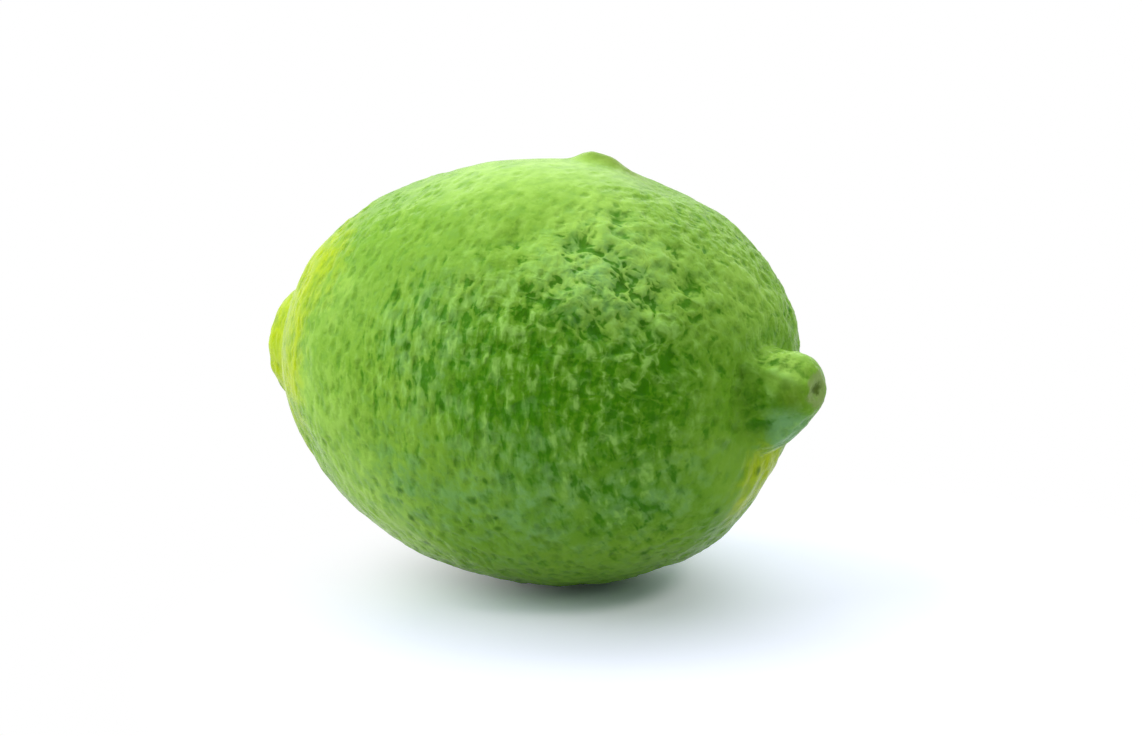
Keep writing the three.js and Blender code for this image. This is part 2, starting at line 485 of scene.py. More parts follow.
class NodeSheet:
    """A node tree, of a material or of a mesh's relief, with short ways to add nodes and join them."""

    def __init__(self, tree: bpy.types.NodeTree) -> None:
        """Starts on an empty tree."""
        self.tree = tree
        self.tree.nodes.clear()

    def add(self, kind: str, **settings: object) -> bpy.types.Node:
        """Adds a node.

        Args:
            kind: The renderer's name for the kind of node.
            settings: The node's properties, by name.

        Returns:
            The node.
        """
        node = self.tree.nodes.new(kind)
        for name, value in settings.items():
            setattr(node, name, value)
        return node

    def feed(self, socket: Socket, value: Feed) -> None:
        """Gives a socket its value.

        Args:
            socket: The socket that takes the value.
            value: Another socket to join it to, or a value to set.
        """
        if isinstance(value, Socket):
            self.tree.links.new(value, socket)
        else:
            socket.default_value = value

    def shown(self, sockets: bpy.types.NodeInputs | bpy.types.NodeOutputs) -> list[Socket]:
        """Returns the sockets that a node shows with its present settings."""
        return [socket for socket in sockets if socket.enabled]

    def math(self, operation: str, first: Feed, second: Feed = 0.0) -> Socket:
        """Works out one value from one or two others.

        Args:
            operation: The renderer's name for the sum.
            first: The first value.
            second: The second value, where the sum takes two.

        Returns:
            The result's socket.
        """
        node = self.add("ShaderNodeMath", operation=operation)
        self.feed(node.inputs[0], first)
        self.feed(node.inputs[1], second)
        return node.outputs[0]

    def sum(self, *values: Feed) -> Socket:
        """Adds up several values.

        Args:
            values: The values.

        Returns:
            Their total.
        """
        total = values[0]
        for value in values[1:]:
            total = self.math("ADD", total, value)
        return total

    def product(self, *values: Feed) -> Socket:
        """Multiplies several values.

        Args:
            values: The values.

        Returns:
            Their product.
        """
        total = values[0]
        for value in values[1:]:
            total = self.math("MULTIPLY", total, value)
        return total

    def remap(self, value: Feed, low: float, high: float, to_low: float = 0.0, to_high: float = 1.0,
              step: Step = Step.SMOOTH) -> Socket:
        """Moves a value from one range to another, held at its ends.

        Args:
            value: The value.
            low: Where the first range starts. It may be above high, and then the result runs the other way.
            high: Where the first range ends.
            to_low: The result at low.
            to_high: The result at high.
            step: How the result goes from one to the other.

        Returns:
            The result's socket.
        """
        node = self.add("ShaderNodeMapRange", interpolation_type=step.value)
        for socket, given in zip(node.inputs, (value, low, high, to_low, to_high)):
            self.feed(socket, given)
        return node.outputs[0]

    def mix(self, share: Feed, first: Feed, second: Feed) -> Socket:
        """Mixes two colours.

        Args:
            share: The share of the second colour.
            first: The first colour.
            second: The second colour.

        Returns:
            The mixed colour's socket.
        """
        node = self.add("ShaderNodeMix", data_type="RGBA")
        for socket, given in zip(self.shown(node.inputs), (share, first, second)):
            self.feed(socket, given)
        return self.shown(node.outputs)[0]

    def clouds(self, place: Feed, spacing: float, detail: Detail) -> bpy.types.Node:
        """Adds a node of cloudy noise.

        Args:
            place: The place, in millimetres.
            spacing: The size of its largest clouds, in millimetres.
            detail: How many finer layers it has.

        Returns:
            The node, with the noise as a number and as a colour.
        """
        node = self.add("ShaderNodeTexNoise", noise_dimensions="3D")
        self.feed(node.inputs["Vector"], place)
        self.feed(node.inputs["Scale"], 1 / spacing)
        self.feed(node.inputs["Detail"], detail.value)
        return node

    def noise(self, place: Feed, spacing: float, detail: Detail, roughness: float = 0.5,
              twist: float = 0.0) -> Socket:
        """Adds cloudy noise between 0 and 1.

        Args:
            place: The place, in millimetres.
            spacing: The size of its largest clouds, in millimetres.
            detail: How many finer layers it has.
            roughness: How strong the finer layers are.
            twist: How far the layers are pulled out of shape.

        Returns:
            The noise's socket.
        """
        node = self.clouds(place, spacing, detail)
        self.feed(node.inputs["Roughness"], roughness)
        self.feed(node.inputs["Distortion"], twist)
        return node.outputs[0]

    def swing(self, place: Feed, spacing: float, detail: Detail, twist: float = 0.0) -> Socket:
        """Returns cloudy noise between about -0.5 and 0.5."""
        return self.math("SUBTRACT", self.noise(place, spacing, detail, twist=twist), 0.5)

    def cells(self, place: Feed, spacing: float) -> bpy.types.Node:
        """Adds cells round scattered points.

        Args:
            place: The place, in millimetres.
            spacing: The distance between the points, in millimetres.

        Returns:
            The node, with a Distance in spacings and a Color that is random for each cell.
        """
        node = self.add("ShaderNodeTexVoronoi", voronoi_dimensions="3D", feature="F1")
        self.feed(node.inputs["Vector"], place)
        self.feed(node.inputs["Scale"], 1 / spacing)
        return node

    def vector(self, operation: str, first: Feed, second: Feed) -> Socket:
        """Works out a vector or a distance from two vectors.

        Args:
            operation: The renderer's name for the sum.
            first: The first vector.
            second: The second vector.

        Returns:
            The result's socket.
        """
        node = self.add("ShaderNodeVectorMath", operation=operation)
        self.feed(node.inputs[0], first)
        self.feed(node.inputs[1], second)
        return self.shown(node.outputs)[0]

    def wobbled(self, place: Feed, spacing: float, reach: float) -> Socket:
        """Shifts places about, so that what is drawn on them loses its even shape.

        Args:
            place: The place, in millimetres.
            spacing: How far apart shifts of different direction are, in millimetres.
            reach: The size of the shifts, in millimetres.

        Returns:
            The shifted place.
        """
        node = self.clouds(place, spacing, Detail.SOFT)
        shift = self.vector("SUBTRACT", node.outputs["Color"], (0.5, 0.5, 0.5))
        return self.vector("ADD", place, self.vector("MULTIPLY", shift, (reach / CLOUD_REACH,) * 3))

    def channels(self, colour: Socket) -> list[Socket]:
        """Takes a vector or a colour apart.

        Args:
            colour: The vector or the colour.

        Returns:
            Its three parts.
        """
        node = self.add("ShaderNodeSeparateXYZ")
        self.feed(node.inputs[0], colour)
        return list(node.outputs)

    def end_with(self, kind: str, result: Socket) -> None:
        """Adds the output node of a kind and joins its first socket to the sheet's result."""
        self.feed(self.add(kind).inputs[0], result)


class MeshSheet(NodeSheet):
    """A sheet that moves the points of a mesh."""

    def stored(self, name: str, kind: str) -> Socket:
        """Reads what is stored on the mesh.

        Args:
            name: The name that it is stored under.
            kind: The renderer's name for the kind of value.

        Returns:
            The value's socket.
        """
        node = self.add("GeometryNodeInputNamedAttribute", data_type=kind)
        self.feed(node.inputs[0], name)
        return self.shown(node.outputs)[0]

    def mark(self, mark: Mark) -> Socket:
        """Returns the number that is stored for a mark."""
        return self.stored(mark.value, "FLOAT")

    def place(self) -> Socket:
        """Returns the place on the smooth fruit, in millimetres."""
        return self.stored(REST_PLACE, "FLOAT_VECTOR")


class FinishSheet(NodeSheet):
    """A sheet that colours a surface."""

    def mark(self, mark: Mark) -> Socket:
        """Returns the number that is stored for a mark."""
        return self.add("ShaderNodeAttribute", attribute_name=mark.value).outputs["Fac"]

    def place(self) -> Socket:
        """Returns the place on the smooth fruit, in millimetres."""
        return self.add("ShaderNodeAttribute", attribute_name=REST_PLACE).outputs["Vector"]


SkinSheet = MeshSheet | FinishSheet


def new_finish(name: str) -> tuple[bpy.types.Material, FinishSheet]:
    """Starts a new material.

    Args:
        name: What it is called.

    Returns:
        The material, and the sheet that colours it.
    """
    material = bpy.data.materials.new(name)
    material.use_nodes = True
    return material, FinishSheet(material.node_tree)


# ---- The rind's relief ------------------------------------------------------------------------------------


@dataclass(frozen=True)
class Glands:
    """The oil glands: an uneven pit over each one, longer round the fruit than along it. In millimetres."""

    spacing: float = 1.7
    depth: float = 0.24
    mouth: float = 0.64
    bottom: float = 0.08
    stretch: tuple = (1.3, 0.8, 0.8)
    wobble_spacing: float = 1.3
    wobble: float = 0.22
    edge_spacing: float = 0.6
    edge_share: float = 0.4
    faintest: float = 0.2

    def pit(self, sheet: SkinSheet) -> Socket:
        """Works out how far into its pit a place is.

        Args:
            sheet: The sheet that it is added to.

        Returns:
            A share, 0 at the rim and up to 1 at the middle of the deepest pit.
        """
        place = sheet.wobbled(sheet.place(), self.wobble_spacing, self.wobble)
        cells = sheet.cells(sheet.vector("MULTIPLY", place, self.stretch), self.spacing)
        ragged = sheet.product(sheet.swing(sheet.place(), self.edge_spacing, Detail.SOFT), self.edge_share)
        into = sheet.remap(sheet.sum(cells.outputs["Distance"], ragged), self.mouth, self.bottom)
        own = sheet.channels(cells.outputs["Color"])[0]
        return sheet.product(into, sheet.remap(own, 0, 1, self.faintest, 1.0, Step.STRAIGHT))


@dataclass(frozen=True)
class Dots:
    """The larger glands that show through the skin as soft dark dots. Spacings and the wobble are in mm.

    A dot's reach, from the smallest to the largest, is a share of the spacing, and its core a share of its
    reach. Missing is the share of places without a dot.
    """

    spacing: float = 3.0
    smallest: float = 0.16
    largest: float = 0.4
    core: float = 0.15
    wobble_spacing: float = 1.1
    wobble: float = 0.2
    missing: float = 0.25

    def shade(self, sheet: SkinSheet) -> Socket:
        """Works out how dark the dots make a place.

        Args:
            sheet: The sheet that it is added to.

        Returns:
            A share, 0 between the dots and up to 1 in the middle of the darkest.
        """
        place = sheet.wobbled(sheet.place(), self.wobble_spacing, self.wobble)
        cells = sheet.cells(place, self.spacing)
        own, size, _ = sheet.channels(cells.outputs["Color"])
        reach = sheet.remap(size, 0, 1, self.smallest, self.largest, Step.STRAIGHT)
        dot = sheet.remap(sheet.math("DIVIDE", cells.outputs["Distance"], reach), 1.0, self.core)
        return sheet.product(dot, sheet.remap(own, self.missing, 1.0))


@dataclass(frozen=True)
class Folds:
    """The uneven skin between the glands. Sizes are in millimetres.

    There are gentle cobbles all over, folds, crinkles and winding wrinkles where the skin is crumpled, and
    fine strokes that run round the fruit. A fine height is what is left to the finish.
    """

    cobble_spacing: float = 6.5
    cobble_height: float = 1.0
    fold_spacing: float = 3.6
    fold_height: float = 1.4
    crinkle_spacing: float = 1.35
    crinkle_height: float = 0.45
    crinkle_fine_height: float = 0.16
    fold_twist: float = 0.6
    plain_share: float = 0.3
    full_share: float = 0.75
    wrinkle_spacing: float = 2.2
    wrinkle_width: float = 0.17
    wrinkle_sink: float = 0.47
    wrinkle_twist: float = 0.7
    wrinkle_stretch: tuple = (0.7, 1.1, 1.1)
    wrinkle_height: float = 0.4
    wrinkle_fine_height: float = 0.1
    stroke_spacing: float = 1.7
    stroke_twist: float = 0.3
    stroke_stretch: tuple = (1.6, 0.6, 0.6)
    stroke_height: float = 0.26

    def crumpled(self, sheet: SkinSheet, spacing: float, detail: Detail) -> Socket:
        """Returns swells that stand highest where the skin is crumpled, from about -0.5 to 0.5."""
        share = sheet.remap(sheet.mark(Mark.CRUMPLE), 0, 1, self.plain_share, self.full_share, Step.STRAIGHT)
        return sheet.product(sheet.swing(sheet.place(), spacing, detail, self.fold_twist), share)

    def fold(self, sheet: SkinSheet) -> Socket:
        """Returns the folds, from about -0.5 to 0.5."""
        return self.crumpled(sheet, self.fold_spacing, Detail.MIDDLE)

    def crinkle(self, sheet: SkinSheet) -> Socket:
        """Returns the crinkles, from about -0.5 to 0.5."""
        return self.crumpled(sheet, self.crinkle_spacing, Detail.FINE)

    def wrinkle(self, sheet: SkinSheet) -> Socket:
        """Works out the wrinkles, thin ridges that wind over the crumpled skin.

        Args:
            sheet: The sheet that it is added to.

        Returns:
            The wrinkles, from about -0.5 to 0.5.
        """
        place = sheet.vector("MULTIPLY", sheet.place(), self.wrinkle_stretch)
        swing = sheet.swing(place, self.wrinkle_spacing, Detail.MIDDLE, self.wrinkle_twist)
        ridge = sheet.remap(sheet.math("ABSOLUTE", swing), self.wrinkle_width, 0.0)
        return sheet.product(sheet.sum(ridge, -self.wrinkle_sink), sheet.mark(Mark.CRUMPLE))

    def stroke(self, sheet: SkinSheet) -> Socket:
        """Works out the strokes that run round the fruit.

        Args:
            sheet: The sheet that it is added to.

        Returns:
            The strokes, from about -0.5 to 0.5.
        """
        place = sheet.vector("MULTIPLY", sheet.place(), self.stroke_stretch)
        swing = sheet.swing(place, self.stroke_spacing, Detail.MIDDLE, self.stroke_twist)
        return sheet.product(swing, sheet.mark(Mark.STROKE))

    def height(self, sheet: SkinSheet) -> Socket:
        """Adds up the relief between the glands, all but the strokes.

        Args:
            sheet: The sheet that it is added to.

        Returns:
            The height, in millimetres.
        """
        cobble = sheet.swing(sheet.place(), self.cobble_spacing, Detail.SOFT)
        return sheet.sum(
            sheet.product(cobble, self.cobble_height),
            sheet.product(self.fold(sheet), self.fold_height),
            sheet.product(self.crinkle(sheet), self.crinkle_height),
            sheet.product(self.wrinkle(sheet), self.wrinkle_height),
        )


# ---- The rind's finish ------------------------------------------------------------------------------------


def tint(red: int, green: int, blue: int) -> tuple[float, float, float, float]:
    """Returns a paint colour, given as it looks on a screen, in the renderer's linear values."""
    linear = [((v / 255 + 0.055) / 1.055) ** 2.4 if v > 10 else v / 255 / 12.92 for v in (red, green, blue)]
    return (*linear, 1.0)


class Mottle(Enum):
    """The noises that break up the edges of colours: the spacing in millimetres, and the roughness."""

    CLOUDS = (12.0, 0.5)
    FLECKS = (2.4, 0.6)

    def noise(self, sheet: FinishSheet) -> Socket:
        """Returns the noise, between 0 and 1."""
        spacing, roughness = self.value
        return sheet.noise(sheet.place(), spacing, Detail.FINE, roughness)


@dataclass(frozen=True)
class Layer:
    """A colour that lies over the others where its mark is strong: none of it at bare, and all of it at full.

    Its breaks are what the noises add at its edge: a noise, where it starts and ends, and the amounts there.
    """

    mark: Mark
    colour: tuple
    breaks: tuple[tuple[Mottle, float, float, float, float], ...]
    bare: float = 0.0
    full: float = 1.0

    def over(self, sheet: FinishSheet, below: Feed, noises: dict[Mottle, Feed]) -> Socket:
        """Lays the colour over what is below it.

        Args:
            sheet: The finish's sheet.
            below: The colour below.
            noises: The noises that may break up its edge.

        Returns:
            The mixed colour.
        """
        share = sheet.mark(self.mark)
        for mottle, *span in self.breaks:
            share = sheet.sum(share, sheet.remap(noises[mottle], *span))
        return sheet.mix(sheet.remap(share, self.bare, self.full), below, self.colour)


@dataclass(frozen=True)
class SkinColours:
    """The skin's colours: leaf green, deeper green with painted shade, paler green with painted light and
    sheen, a bluish painted sheen, and yellow at the ends.
    """

    leaf: tuple = tint(131, 182, 52)
    layers: tuple[Layer, ...] = (
        # Deeper green, and painted shade.
        Layer(Mark.DEEP_AND_SHADED, tint(90, 152, 16),
              ((Mottle.CLOUDS, 0.35, 0.65, -0.15, 0.25), (Mottle.FLECKS, 0.35, 0.65, -0.2, 0.2))),
        # Paler green, and painted light and sheen.
        Layer(Mark.PALE_AND_LIT, tint(170, 217, 92), ((Mottle.FLECKS, 0.3, 0.7, -0.25, 0.25),)),
        # Painted sheen: a bluish reflection of the lamps and the floor.
        Layer(Mark.PAINTED_SHEEN, tint(132, 188, 118), ((Mottle.FLECKS, 0.7, 0.3, -0.25, 0.2),)),
        Layer(Mark.YELLOW, tint(188, 213, 26),
              ((Mottle.CLOUDS, 0.3, 0.7, -0.2, 0.2), (Mottle.FLECKS, 0.3, 0.7, -0.15, 0.15)), 0.34, 1.1),
    )

    def ground(self, sheet: FinishSheet) -> Socket:
        """Lays the skin's own colours over the leaf green.

        Args:
            sheet: The sheet that it is added to.

        Returns:
            The colour, before the pits, the dots and the ends have theirs.
        """
        noises = {mottle: mottle.noise(sheet) for mottle in Mottle}
        colour = self.leaf
        for layer in self.layers:
            colour = layer.over(sheet, colour, noises)
        return colour


@dataclass(frozen=True)
class EndsFinish:
    """The wart's olive, the nipple's dry tip with its dimple, and the corky scar of the stalk.

    A span says at what value of its mark a colour starts to show, and at what value it shows in full.
    """

    olive: tuple = tint(128, 150, 44)
    dry: tuple = tint(152, 172, 104)
    bark: tuple = tint(80, 106, 26)
    cork: tuple = tint(158, 142, 84)
    rough_spacing: float = 1.1
    rough_coarseness: float = 0.7
    rough_span: tuple = (0.3, 0.7)
    rough_reach: float = 0.3
    olive_share: float = 0.75
    tip_span: tuple = (0.2, 1.0)
    tip_share: float = 0.7
    dimple_span: tuple = (0.25, 0.9)
    dimple_share: float = 0.85
    scar_span: tuple = (0.3, 0.8)
    ring_span: tuple = (0.2, 1.1)
    ring_share: float = 0.7
    dry_cork_share: float = 0.5

    def over(self, sheet: FinishSheet, skin: Socket) -> Socket:
        """Lays the ends' colours over the skin's.

        Args:
            sheet: The finish's sheet.
            skin: The pitted skin's colour.

        Returns:
            The whole colour.
        """
        reach = self.rough_reach
        noise = sheet.noise(sheet.place(), self.rough_spacing, Detail.FINE, self.rough_coarseness)
        rough = sheet.remap(noise, *self.rough_span, -reach, reach)
        colour = sheet.mix(sheet.product(sheet.mark(Mark.OLIVE), self.olive_share), skin, self.olive)
        tip = sheet.remap(sheet.sum(sheet.mark(Mark.TIP), rough), *self.tip_span)
        colour = sheet.mix(sheet.product(tip, self.tip_share), colour, self.dry)
        dimple = sheet.remap(sheet.sum(sheet.mark(Mark.DIMPLE), rough), *self.dimple_span)
        colour = sheet.mix(sheet.product(dimple, self.dimple_share), colour, self.bark)
        scar = sheet.remap(sheet.sum(sheet.mark(Mark.SCAR), rough), *self.scar_span)
        ring = sheet.remap(sheet.sum(sheet.mark(Mark.SCAR_RING), rough, rough), *self.ring_span)
        cork = sheet.mix(sheet.remap(rough, -reach, reach, 0.0, self.dry_cork_share), self.cork, self.dry)
        cork = sheet.mix(sheet.product(ring, self.ring_share), cork, self.bark)
        return sheet.mix(scar, colour, cork)


@dataclass(frozen=True)
class RindFinish:
    """Waxy green rind: own colours, painted shade in hollows and highlights on crests, and dark gland dots.

    Each tone is how strongly a part of the relief paints shade into its hollows and highlights onto its
    crests.
    The spans say at what tone the painted shade or highlight starts to show, and at what tone it shows in
    full.
    """

    glands: Glands
    dots: Dots
    folds: Folds
    colours: SkinColours = SkinColours()
    ends: EndsFinish = EndsFinish()
    gland: tuple = tint(52, 112, 2)
    # The painted shade of the hollows, and the painted highlight of the crests.
    hollow_shade: tuple = tint(62, 131, 1)
    crest_highlight: tuple = tint(165, 218, 103)
    calm_share: float = 0.3
    fold_tone: float = 0.75
    crinkle_tone: float = 1.3
    stroke_tone: float = 1.4
    wrinkle_tone: float = 0.45
    pleat_tone: float = 1.0
    # How strongly the dents of the hollows take painted shade, and the ridges painted highlights.
    crease_tone: float = -0.25
    hollow_shade_span: tuple = (0.0, -0.24)
    hollow_shade_share: float = 0.85
    crest_light_span: tuple = (0.02, 0.4)
    crest_light_share: float = 0.8
    pit_share: float = 0.4
    dot_share: float = 0.85
    roughness: float = 0.25
    specular: float = 0.035
    grain_spacing: float = 0.6
    grain_roughness: float = 0.6
    grain_height: float = 0.05
    pore_depth: float = 0.14

    def lively(self, sheet: FinishSheet) -> Socket:
        """Returns how much of its fine marks a place shows."""
        return sheet.remap(sheet.mark(Mark.CALM), 0, 1, 1.0, self.calm_share, Step.STRAIGHT)

    def tone(self, sheet: FinishSheet, lively: Socket) -> Socket:
        """Works out the shade and highlights that the relief paints on the skin.

        Args:
            sheet: The finish's sheet.
            lively: How much of its fine marks a place shows.

        Returns:
            The tone: below 0 where shade is painted in the hollows, and above it where highlights are painted
                on the crests.
        """
        fine = sheet.sum(
            sheet.product(self.folds.fold(sheet), self.fold_tone),
            sheet.product(self.folds.crinkle(sheet), self.crinkle_tone),
            sheet.product(self.folds.stroke(sheet), self.stroke_tone),
            sheet.product(self.folds.wrinkle(sheet), self.wrinkle_tone),
        )
        return sheet.sum(
            sheet.product(fine, lively),
            sheet.product(sheet.mark(Mark.HOLLOW), self.crease_tone),
            sheet.product(sheet.mark(Mark.PLEAT), self.pleat_tone),
        )

    def pitted(self, sheet: FinishSheet, ground: Socket) -> Socket:
        """Paints shade into the skin's hollows and highlights onto its crests, darkens its pits to the
        glands' colour, partly as painted shade, and adds the glands' dots.

        Args:
            sheet: The finish's sheet.
            ground: The skin's own colour.

        Returns:
            The colour with its pits.
        """
        lively = self.lively(sheet)
        tone = self.tone(sheet, lively)
        # Painted shade in the hollows and painted highlights on the crests; the pits take the glands' colour,
        # partly as painted shade.
        hollow_shade = sheet.product(sheet.remap(tone, *self.hollow_shade_span), self.hollow_shade_share)
        crest_light = sheet.product(sheet.remap(tone, *self.crest_light_span), self.crest_light_share)
        pit = sheet.product(self.glands.pit(sheet), lively, self.pit_share)
        dot = sheet.product(self.dots.shade(sheet), sheet.mark(Mark.DOTTED), self.dot_share)
        colour = ground
        for share, over in ((hollow_shade, self.hollow_shade), (crest_light, self.crest_highlight), (pit, self.gland), (dot, self.gland)):
            colour = sheet.mix(share, colour, over)
        return colour

    def grain(self, sheet: FinishSheet) -> Socket:
        """Adds up the relief that is too fine for the mesh.

        Args:
            sheet: The sheet that it is added to.

        Returns:
            The height, in millimetres.
        """
        fine = sheet.noise(sheet.place(), self.grain_spacing, Detail.MIDDLE, self.grain_roughness)
        height = sheet.sum(
            sheet.product(fine, self.grain_height),
            sheet.product(self.folds.stroke(sheet), self.folds.stroke_height),
            sheet.product(self.folds.crinkle(sheet), self.folds.crinkle_fine_height),
            sheet.product(self.folds.wrinkle(sheet), self.folds.wrinkle_fine_height),
            sheet.product(self.glands.pit(sheet), -self.pore_depth),
        )
        return sheet.product(height, self.lively(sheet))

    def material(self) -> bpy.types.Material:
        """Builds the finish.

        Returns:
            The rind's material.
        """
        material, sheet = new_finish("waxy_rind")
        shader = sheet.add("ShaderNodeBsdfPrincipled")
        colour = self.ends.over(sheet, self.pitted(sheet, self.colours.ground(sheet)))
        sheet.feed(shader.inputs["Base Color"], colour)
        sheet.feed(shader.inputs["Roughness"], self.roughness)
        sheet.feed(shader.inputs["Specular IOR Level"], self.specular)
        relief = sheet.add("ShaderNodeBump")
        sheet.feed(relief.inputs["Distance"], MM)
        sheet.feed(relief.inputs["Height"], self.grain(sheet))
        sheet.feed(shader.inputs["Normal"], relief.outputs[0])
        sheet.end_with("ShaderNodeOutputMaterial", shader.outputs[0])
        return material


# ---- The fruit --------------------------------------------------------------------------------------------

# Dents in the skin, depths in millimetres, into which the finish paints shade; the ridges below rise by their
# heights and take painted highlights.
HOLLOWS = (
    Spot("top_start", 8, 37, 1.6, 0.6),
    Spot("top_first", 16.5, 35, 2.0, 1.0),
    Spot("top_second", 21, 34, 1.7, 0.9),
    Spot("top_third", 24, 39, 2.2, 1.1),
    Spot("top_fourth", 27.5, 42, 1.9, 1.0),
    Spot("top_last", 30, 28, 1.8, 0.9),
    Spot("over_wart_side", 19, 19, 1.4, 0.6),
    Spot("slant_low", 14.5, 54, 1.4, 0.8),
    Spot("slant_high", 17, 49, 1.4, 0.8),
    Spot("under_ridge", 22.5, 57, 1.8, 0.6),
    Spot("under_ridge_end", 25.5, 55, 1.6, 0.4),
    Spot("near_middle", 10, 60, 1.3, 0.5),
    Spot("before_nipple", 34.3, 52, 1.8, 0.25),
    Spot("near_cheek", 24, 84, 5, 0.25),
    Spot("low_cheek", 17, 115, 1.4, 0.3),
    Spot("nipple_groove", 36.0, 76, 1.6, 0.25, reach=5.3),
    Spot("nipple_groove_low", 36.5, 96, 1.5, 0.3, reach=5.1),
    Spot("nipple_side", 38.0, 82, 1.5, 0.1, reach=4.8),
    Spot("nipple_low_side", 39.7, 106, 1.3, 0.3, reach=4.1),
    Spot("nipple_top", 43.8, 25, 0.9, 0.4, reach=4.7),
    Spot("nipple_crease", 37.0, 124, 1.3, 0.5, reach=5.4),
    Spot("nipple_crease_end", 38.4, 131, 1.2, 0.6, reach=5.1),
    Spot("under_nipple_crease", 35.3, 117, 1.2, 0.4, reach=7.5),
)
RIDGES = (
    Spot("bright", 20, 51, 2.0, 0.8),
    Spot("bright_end", 24, 49, 1.5, 0.7),
    Spot("upper", 22, 27, 1.6, 0.5),
    Spot("upper_end", 26, 26, 1.6, 0.5),
    Spot("before_top", 13.5, 41, 1.6, 0.4),
    Spot("between", 29.5, 50, 1.5, 0.5),
    Spot("nipple_streak", 39.2, 39, 0.9, 0.6, reach=5.7),
    Spot("nipple_streak_middle", 41.4, 40, 0.9, 0.6, reach=5.0),
    Spot("nipple_streak_end", 42.7, 43, 0.8, 0.6, reach=4.5),
    Spot("nipple_low_streak", 39.3, 58, 0.8, 0.5, reach=5.0),
    Spot("nipple_low_streak_end", 40.2, 64, 0.8, 0.5, reach=4.6),
    Spot("under_groove", 38.2, 103, 0.9, 0.15, reach=4.7),
)
PATCHES = {
    Mark.CRUMPLE: (
        Spot("near_top", 18, 40, 9, 0.8),
        Spot("nipple_side", 28, 42, 9, 0.7),
        Spot("nipple_cheek", 27, 80, 10, 0.65),
        Spot("near_side", 9, 60, 10, 0.6),
        Spot("top", 22, 0, 8, 0.4),
        Spot("far_shoulder", 28, -40, 13, 0.6),
        Spot("nipple", 40, 70, 5, 0.4, reach=4.6),
    ),
    Mark.CALM: (
        Spot("top", 2, 3, 16, 1.3),
        Spot("stem", -36, 80, 16, 0.8),
        Spot("low_stem", -16, 125, 14, 0.6),
        Spot("under_nipple", 34, 170, 10, 1.2),
        Spot("nipple_tip", 43, 60, 4, 0.4, reach=3),
    ),
    Mark.STROKE: (
        Spot("near_middle", -2, 72, 14, 1.0),
        Spot("near_cheek", 14, 74, 12, 1.0),
        Spot("nipple_side", 26, 90, 14, 0.8),
        Spot("low_nipple_side", 27, 126, 12, 0.7),
    ),
    Mark.OLIVE: (
        Spot("wart", 4.9, -11, 2.2, 0.7),
        Spot("wart_ridge", 8.0, -13, 2.2, 1.0),
        Spot("wart_tail", 11.0, -16, 1.8, 0.7),
        Spot("nipple_side", 42.4, 70, 2.0, 0.5, reach=3.6),
    ),
    Mark.YELLOW: (
        Spot("collar", -42.5, 60, 9, 0.6, reach=6),
        Spot("stem_near", -30.5, 74, 8, 0.55),
        Spot("stem_shoulder", -26, 40, 9, 0.5),
        Spot("under_nipple", 35, -176, 7, 1.15),
        Spot("under_nipple_low", 30, 178, 8, 0.4),
        Spot("far_stem", -30, -60, 10, 0.2),
    ),
    # Paler skin, with painted light and sheen on the top, the nipple's top and the near sheen.
    Mark.PALE_AND_LIT: (
        Spot("top", 2, 5, 20, 0.65),
        Spot("stem_side", -19, 60, 7, 0.4),
        Spot("stem_low", -18, 108, 12, 0.6),
        Spot("low_side", -12, 134, 9, 0.8),
        Spot("near_top", 16, 46, 6, 0.25),
        Spot("past_wart", 17, 19, 4.5, 0.35),
        Spot("stem_near", -26, 85, 6, 0.4),
        Spot("near_sheen", 0, 80, 3.5, 0.3),
        Spot("near_shoulder", 4, 53, 3, 0.35),
        Spot("crumpled", 23, 38, 9, 0.65),
        Spot("nipple_shoulder", 33, -5, 10, 0.45),
        Spot("nipple_top", 40.0, 8, 3.5, 0.85, reach=6.7),
        Spot("nipple_near_top", 42.0, 34, 2.2, 0.5, reach=5.2),
    ),
    # Deeper green, with painted shade on the near cheek, the nipple's near side and the underside.
    Mark.DEEP_AND_SHADED: (
        Spot("near_cheek", 22, 72, 15, 1.2),
        Spot("near_belly", 5.5, 86, 4, 0.5),
        Spot("nipple_side", 41.3, 80, 3.0, 0.6, reach=4.2),
        Spot("nipple_foot", 36.8, 84, 2.4, 0.1, reach=5.2),
        Spot("nipple_shoulder", 30, 19, 4, 0.35),
        Spot("low_middle", 25, 124, 6, 0.35),
        Spot("low_edge", 31, 167, 5, 0.6),
        Spot("far_cheek", 10, -90, 22, 0.6),
    ),
    # Painted sheen: the lamps' and the floor's bluish reflections, as under the nipple.
    Mark.PAINTED_SHEEN: (
        Spot("crumpled", 21, 42, 9, 0.42),
        Spot("near_sheen", 0, 67, 9, 0.35),
        Spot("low_middle", 14, 112, 13, 0.42),
        Spot("low_nipple_side", 30, 124, 8, 0.3),
        Spot("low_left", -6, 112, 9, 0.35),
        Spot("under_nipple", 41.2, 145, 3.0, 1.2, reach=3.9),
        Spot("under_nipple_lip", 38.6, -173, 3.0, 0.7, reach=6.7),
    ),
}


